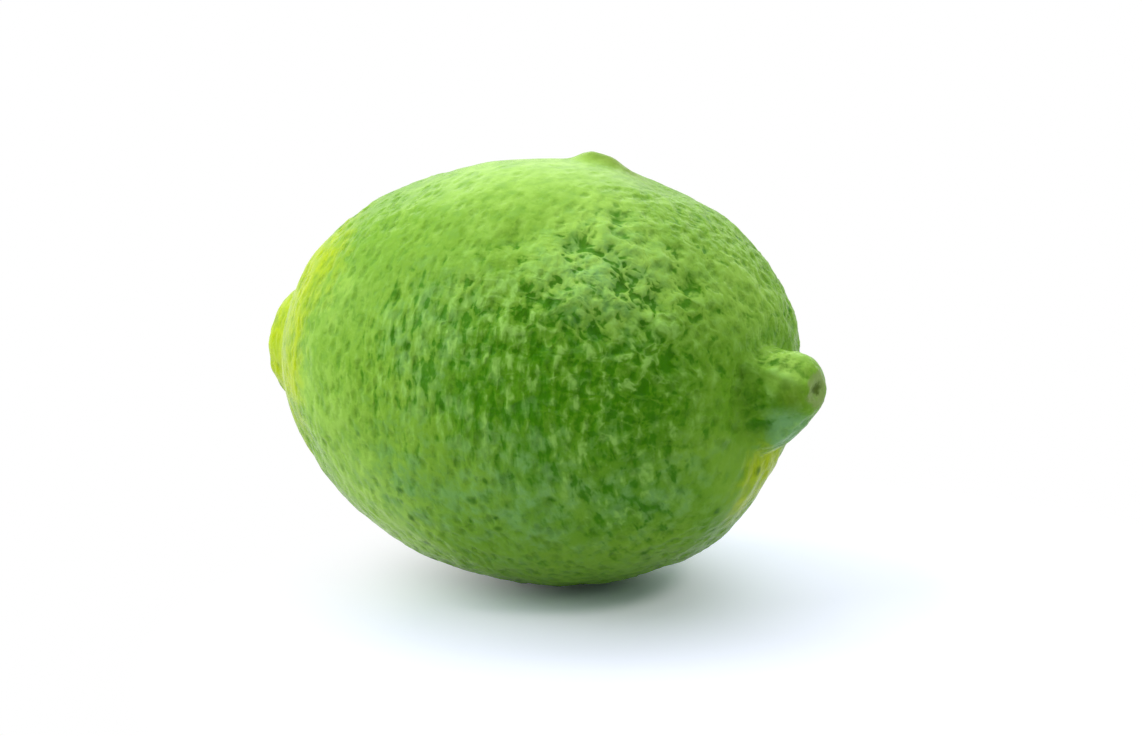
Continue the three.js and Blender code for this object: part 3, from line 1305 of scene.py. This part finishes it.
@dataclass(frozen=True)
class EndMarks:
    """How wide the marks at the fruit's two ends are, in millimetres from the long axis."""

    tip_inner: float = 1.8
    tip_outer: float = 3.6
    dimple_half_width: float = 1.1
    scar_inner: float = 3.4
    scar_outer: float = 5.0
    ring_radius: float = 2.3
    ring_half_width: float = 0.5

    def shares(self, points: np.ndarray, reach: np.ndarray) -> dict[Mark, np.ndarray]:
        """Works out how strong the ends' marks are.

        Args:
            points: The points of the uneven fruit.
            reach: Each point's distance from the axis before it was made uneven.

        Returns:
            One share for each point, under each mark.
        """
        at_nipple, at_stem = End.NIPPLE.holds(points), End.STEM.holds(points)
        return {
            Mark.TIP: fade(reach, self.tip_inner, self.tip_outer) * at_nipple,
            Mark.DIMPLE: bump(reach, self.dimple_half_width) * at_nipple,
            Mark.SCAR: fade(reach, self.scar_inner, self.scar_outer) * at_stem,
            Mark.SCAR_RING: bump(reach - self.ring_radius, self.ring_half_width) * at_stem,
        }


@dataclass(frozen=True)
class DotSpread:
    """Where the gland dots show: in full low down, and fainter above and towards the stem. In millimetres."""

    top_share: float = 0.25
    full_below: float = -14.0
    faintest_above: float = 14.0
    stem_loss: float = 0.5
    stem_inner: float = -24.0
    stem_outer: float = -4.0

    def share(self, points: np.ndarray) -> np.ndarray:
        """Works out how strong the dots are.

        Args:
            points: Points of the skin, with the long axis along X.

        Returns:
            A share for each point, from 0 to 1.
        """
        low = fade(points[:, 2], self.full_below, self.faintest_above)
        stem = fade(points[:, 0], self.stem_inner, self.stem_outer)
        return (self.top_share + (1 - self.top_share) * low) * (1 - self.stem_loss * stem)


@dataclass
class Fruit:
    """The lemon: one skin from the nipple's tip to the stalk's scar."""

    outline: Outline = field(default_factory=Outline)
    grid: WrappedGrid = field(default_factory=WrappedGrid)
    rest: Rest = field(default_factory=Rest)
    glands: Glands = field(default_factory=Glands)
    dots: Dots = field(default_factory=Dots)
    folds: Folds = field(default_factory=Folds)
    blush: Blush = Blush(station=-36, half_width=11, strength=0.72, clock=65, far_share=0.75)
    end_marks: EndMarks = field(default_factory=EndMarks)
    dot_spread: DotSpread = field(default_factory=DotSpread)
    calm_loss: float = 0.65
    plain_stroke: float = 0.25
    pleats: tuple[Pleats, ...] = (
        Pleats(End.NIPPLE, 5.4, 2.0, 9, 0.12, 0.7),
        Pleats(End.NIPPLE, 12.0, 4.0, 23, 0.07, 2.1),
        Pleats(End.STEM, 9.0, 3.5, 13, 0.1, 4.0),
    )

    def spread(self, points: np.ndarray, spots: tuple[Spot, ...]) -> np.ndarray:
        """Adds up what several spots give at each point.

        Args:
            points: Points of the skin, with the long axis along X.
            spots: The spots.

        Returns:
            One number for each point.
        """
        total = np.zeros(len(points))
        for spot in spots:
            distance = np.linalg.norm(points - self.outline.middle(spot), axis=1)
            total += spot.strength * bump(distance, spot.half_width)
        return total

    def smooth_skin(self) -> tuple[np.ndarray, np.ndarray, np.ndarray]:
        """Turns the outline about the long axis.

        Returns:
            The points, the four points of each square, and each point's distance from the axis.
        """
        x, radius, lengths = self.outline.measured()
        places, quads = self.grid.quads()
        down, angle = self.grid.wrap(places, lengths[-1])
        station = np.interp(down, lengths, x)
        reach = np.interp(down, lengths, radius)
        points = np.stack([station, reach * np.cos(angle), reach * np.sin(angle)], axis=1)
        return points, quads, reach

    def broad_form(self, points: np.ndarray, reach: np.ndarray) -> np.ndarray:
        """Pinches the nipple, leans it over, and swells and dents the skin.

        Args:
            points: Points of the turned outline.
            reach: Each point's distance from the axis.

        Returns:
            The points of the uneven fruit.
        """
        outline = self.outline
        made = points.copy()
        at_nipple = End.NIPPLE.holds(points)
        made[:, 1] += outline.pinch(reach, points[:, 1], at_nipple)
        made[:, 2] -= outline.sag(reach, points[:, 2], at_nipple)
        past = np.maximum(0, points[:, 0] - (outline.to_nipple - outline.nipple_height / 2))
        made[:, 2] += outline.nipple_lean * past
        outward = made / np.linalg.norm(made, axis=1, keepdims=True)
        return made + outward * self.spread(made, SWELLINGS)[:, None]

    def marks(self, points: np.ndarray, reach: np.ndarray) -> dict[Mark, np.ndarray]:
        """Works out what is stored on the mesh.

        Args:
            points: The points of the uneven fruit.
            reach: Each point's distance from the axis before it was made uneven.

        Returns:
            One number for each point, under each mark.
        """
        patches = {mark: self.spread(points, spots) for mark, spots in PATCHES.items()}
        patches[Mark.STROKE] = np.maximum(patches[Mark.STROKE], self.plain_stroke)
        patches[Mark.YELLOW] += self.blush.share(points)
        return {
            Mark.PLEAT: sum(pleats.rise(points, reach) for pleats in self.pleats),
            Mark.HOLLOW: self.spread(points, HOLLOWS) - self.spread(points, RIDGES),
            Mark.DOTTED: self.dot_spread.share(points),
            **{mark: np.clip(share, 0, 1) for mark, share in patches.items()},
            **self.end_marks.shares(points, reach),
        }

    def bare_mesh(self, name: str) -> bpy.types.Object:
        """Builds the uneven fruit, still smooth of skin, with its marks stored on it.

        Args:
            name: The new object's name.

        Returns:
            The object.
        """
        smooth, quads, reach = self.smooth_skin()
        points = self.broad_form(smooth, reach)
        mesh = bpy.data.meshes.new(name)
        mesh.from_pydata((points * MM).tolist(), [], quads.tolist())
        mesh.shade_smooth()
        place = mesh.attributes.new(REST_PLACE, "FLOAT_VECTOR", "POINT")
        place.data.foreach_set("vector", points.astype(np.float32).ravel())
        for mark, values in self.marks(points, reach).items():
            stored = mesh.attributes.new(mark.value, "FLOAT", "POINT")
            stored.data.foreach_set("value", values.astype(np.float32))
        return in_scene(name, mesh)

    def relief_nodes(self) -> bpy.types.NodeTree:
        """Builds the nodes that push the skin out to its folds and in at its glands.

        Returns:
            The tree of nodes.
        """
        tree = bpy.data.node_groups.new("rind_relief", "GeometryNodeTree")
        tree.interface.new_socket("Geometry", in_out="INPUT", socket_type="NodeSocketGeometry")
        tree.interface.new_socket("Geometry", in_out="OUTPUT", socket_type="NodeSocketGeometry")
        sheet = MeshSheet(tree)
        skin = sheet.remap(sheet.mark(Mark.CALM), 0, 1, 1.0, 1 - self.calm_loss, Step.STRAIGHT)
        pits = sheet.product(self.glands.pit(sheet), -self.glands.depth)
        height = sheet.sum(self.folds.height(sheet), pits)
        height = sheet.sum(sheet.product(height, skin), sheet.mark(Mark.PLEAT))
        height = sheet.math("SUBTRACT", height, sheet.mark(Mark.HOLLOW))
        height = sheet.product(height, MM)
        push = sheet.add("ShaderNodeVectorMath", operation="SCALE")
        sheet.feed(push.inputs[0], sheet.add("GeometryNodeInputNormal").outputs[0])
        sheet.feed(push.inputs["Scale"], height)
        start = sheet.add("NodeGroupInput")
        move = sheet.add("GeometryNodeSetPosition")
        sheet.feed(move.inputs["Geometry"], start.outputs[0])
        sheet.feed(move.inputs["Offset"], push.outputs[0])
        sheet.end_with("NodeGroupOutput", move.outputs[0])
        return tree

    def carved(self, bare: bpy.types.Object) -> bpy.types.Mesh:
        """Applies the relief to the bare fruit and sets it down.

        Args:
            bare: The bare fruit, which is removed.

        Returns:
            The finished mesh, in the part's frame.
        """
        modifier = bare.modifiers.new("relief", "NODES")
        modifier.node_group = self.relief_nodes()
        depsgraph = bpy.context.evaluated_depsgraph_get()
        mesh = bpy.data.meshes.new_from_object(bare.evaluated_get(depsgraph))
        bpy.data.objects.remove(bare)
        points = np.empty(len(mesh.vertices) * 3, np.float32)
        mesh.vertices.foreach_get("co", points)
        settled = self.rest.settle(points.reshape(-1, 3) / MM, self.outline.radius)
        mesh.vertices.foreach_set("co", (settled * MM).astype(np.float32).ravel())
        mesh.update()
        return mesh

    def build(self) -> bpy.types.Object:
        """Builds the fruit, dresses it and puts it in the solid's place.

        Returns:
            The rind.
        """
        mesh = self.carved(self.bare_mesh("bare_fruit"))
        mesh.materials.clear()
        mesh.materials.append(RindFinish(self.glands, self.dots, self.folds).material())
        rind = in_scene("rind", mesh)
        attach(rind, BODY_NAME)
        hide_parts(BODY_NODE)
        return rind


# ---- The studio -------------------------------------------------------------------------------------------


@dataclass(frozen=True)
class Lamp:
    """A square soft lamp, turned to the fruit. Its level is how it lights white paper that faces it."""

    name: str
    azimuth: float
    elevation: float
    distance: float
    size: float
    level: float

    def place(self, target: Vector) -> bpy.types.Object:
        """Makes the lamp.

        Args:
            target: The point that it faces.

        Returns:
            The lamp.
        """
        light = bpy.data.lights.new(self.name, "AREA")
        light.shape = "SQUARE"
        light.size = self.size
        light.energy = self.level * (math.pi * self.distance) ** 2
        lamp = in_scene(self.name, light)
        back = away(self.azimuth, self.elevation)
        lamp.location = target + back * self.distance
        lamp.rotation_euler = (-back).to_track_quat("-Z", "Y").to_euler()
        return lamp


def away(azimuth: float, elevation: float) -> Vector:
    """Gives the direction from the fruit to something round it.

    Args:
        azimuth: Degrees round from the -Y side towards +X.
        elevation: Degrees above the floor.

    Returns:
        A direction of length 1.
    """
    turn, rise = math.radians(azimuth), math.radians(elevation)
    level = math.cos(rise)
    return Vector((math.sin(turn) * level, -math.cos(turn) * level, math.sin(rise)))


@dataclass(frozen=True)
class Studio:
    """A white floor without an end, soft lamps above and behind, and the camera. Sizes are in metres.

    The paper goes over to plain white away from an off-centre middle, which whitens the far parts of the
    fruit's shadow, and outside a ring round the place that the fruit touches it takes up a share of white:
    painted light that lightens the shadow outside its dark core.
    """

    floor_side: float = 6.0
    paper: tuple = (0.63, 0.63, 0.63, 1.0)
    paper_seen: tuple = (1.09, 1.11, 1.31, 1.0)
    paper_middle: tuple = (0.047, -0.017, 0.0)
    paper_inner: float = 0.038
    paper_outer: float = 0.086
    near_middle: tuple = (0.0, 0.0, 0.0)
    near_inner: float = 0.0172
    near_outer: float = 0.0226
    painted_lift_share: float = 0.18
    floor_drop: float = 0.00002
    room_level: float = 0.22
    room_tint: tuple = (0.82, 0.97, 1.0, 1.0)
    camera_azimuth: float = 33.0
    camera_elevation: float = 15.0
    camera_distance: float = 0.5
    view_width: float = 0.1626
    aim_aside: float = 0.0039
    aim_above: float = 0.0003
    sensor_width: float = 36.0
    lamps: tuple[Lamp, ...] = (
        Lamp("back_lamp", -154, 50, 0.7, 1.0, 1.1),
        Lamp("left_lamp", -58, 36, 0.7, 0.8, 1.0),
        Lamp("right_lamp", 104, 50, 0.7, 0.8, 0.35),
    )

    def seen(self, sheet: NodeSheet) -> Socket:
        """Tells what is seen from what lights the fruit.

        Args:
            sheet: The sheet that it is added to.

        Returns:
            1 for what the camera or a reflection sees, and 0 for what lights the fruit.
        """
        path = sheet.add("ShaderNodeLightPath")
        seen = sheet.math("MAXIMUM", path.outputs["Is Camera Ray"], path.outputs["Is Glossy Ray"])
        return sheet.math("MAXIMUM", seen, path.outputs["Is Transmission Ray"])

    def floor_finish(self) -> bpy.types.Material:
        """Makes the floor's paper, which shows the fruit's shadow, lightened by painted light outside its
        core, and is plain white away from it.

        Returns:
            The paper's material.
        """
        material, sheet = new_finish("floor_paper")
        seen = self.seen(sheet)
        paper = sheet.add("ShaderNodeBsdfDiffuse")
        sheet.feed(paper.inputs["Color"], sheet.mix(seen, self.paper, self.paper_seen))
        place = sheet.add("ShaderNodeNewGeometry").outputs["Position"]
        far = sheet.vector("DISTANCE", place, self.paper_middle)
        near = sheet.vector("DISTANCE", place, self.near_middle)
        # Painted light: white mixed in for the camera lightens the fruit's shadow outside its core and
        # whitens its far parts.
        far_white = sheet.remap(far, self.paper_inner, self.paper_outer)
        painted_lift = sheet.remap(near, self.near_inner, self.near_outer, to_high=self.painted_lift_share)
        white = sheet.math("MAXIMUM", far_white, painted_lift)
        joined = sheet.add("ShaderNodeMixShader")
        sheet.feed(joined.inputs[0], sheet.product(white, seen))
        sheet.feed(joined.inputs[1], paper.outputs[0])
        sheet.feed(joined.inputs[2], sheet.add("ShaderNodeEmission").outputs[0])
        sheet.end_with("ShaderNodeOutputMaterial", joined.outputs[0])
        return material

    def floor(self) -> bpy.types.Object:
        """Makes the floor.

        Returns:
            The floor.
        """
        half = self.floor_side / 2
        sides = ((-1, -1), (1, -1), (1, 1), (-1, 1))
        corners = [(x * half, y * half, -self.floor_drop) for x, y in sides]
        mesh = bpy.data.meshes.new("floor")
        mesh.from_pydata(corners, [], [(0, 1, 2, 3)])
        mesh.materials.append(self.floor_finish())
        made = in_scene("floor", mesh)
        made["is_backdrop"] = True
        return made

    def room(self) -> bpy.types.World:
        """Makes the room's own light, and the white that the camera and reflections see.

        Returns:
            The room.
        """
        world = bpy.data.worlds.new("room")
        world.use_nodes = True
        sheet = NodeSheet(world.node_tree)
        seen = self.seen(sheet)
        background = sheet.add("ShaderNodeBackground")
        level = sheet.remap(seen, 0, 1, self.room_level, 1.0, Step.STRAIGHT)
        sheet.feed(background.inputs["Color"], sheet.mix(seen, self.room_tint, WHITE))
        sheet.feed(background.inputs["Strength"], level)
        sheet.end_with("ShaderNodeOutputWorld", background.outputs[0])
        bpy.context.scene.world = world
        return world

    def camera(self, middle: Vector) -> bpy.types.Object:
        """Makes the scene's camera.

        Args:
            middle: The middle of the fruit's widest section.

        Returns:
            The camera.
        """
        data = bpy.data.cameras.new("camera")
        data.sensor_width = self.sensor_width
        data.lens = self.sensor_width * self.camera_distance / self.view_width
        made = in_scene("camera", data)
        back = away(self.camera_azimuth, self.camera_elevation)
        turn = back.to_track_quat("Z", "Y")
        aim = middle + turn @ Vector((self.aim_aside, self.aim_above, 0.0))
        made.location = aim + back * self.camera_distance
        made.rotation_euler = turn.to_euler()
        bpy.context.scene.camera = made
        return made

    def build(self, middle: Vector) -> list[bpy.types.Object]:
        """Makes the whole studio.

        Args:
            middle: The middle of the fruit's widest section.

        Returns:
            The floor, the camera and the lamps.
        """
        self.room()
        bpy.context.scene.view_settings.view_transform = "Standard"
        return [self.floor(), self.camera(middle), *(lamp.place(middle) for lamp in self.lamps)]


def corners(bounds: tuple[Vector, Vector]) -> list[list[float]]:
    """Returns a box's two corners as plain lists of numbers."""
    return [[float(value) for value in corner] for corner in bounds]


def main() -> None:
    """Builds the studio and the fruit, and works out the boxes of the solid and of the fruit."""
    logging.basicConfig(level=logging.INFO, format="%(name)s: %(message)s")
    solid_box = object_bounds()
    fruit = Fruit()
    middle = Vector((0.0, 0.0, (fruit.outline.radius - fruit.rest.flat_depth) * MM))
    for made in Studio().build(middle):
        log.info("studio: %s", made.name)
    rind = fruit.build()
    log.info("piece: %s, %d faces", rind.name, len(rind.data.polygons))
    {"solid": corners(solid_box), "visual": corners(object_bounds())}


if __name__ == "__main__":
    main()
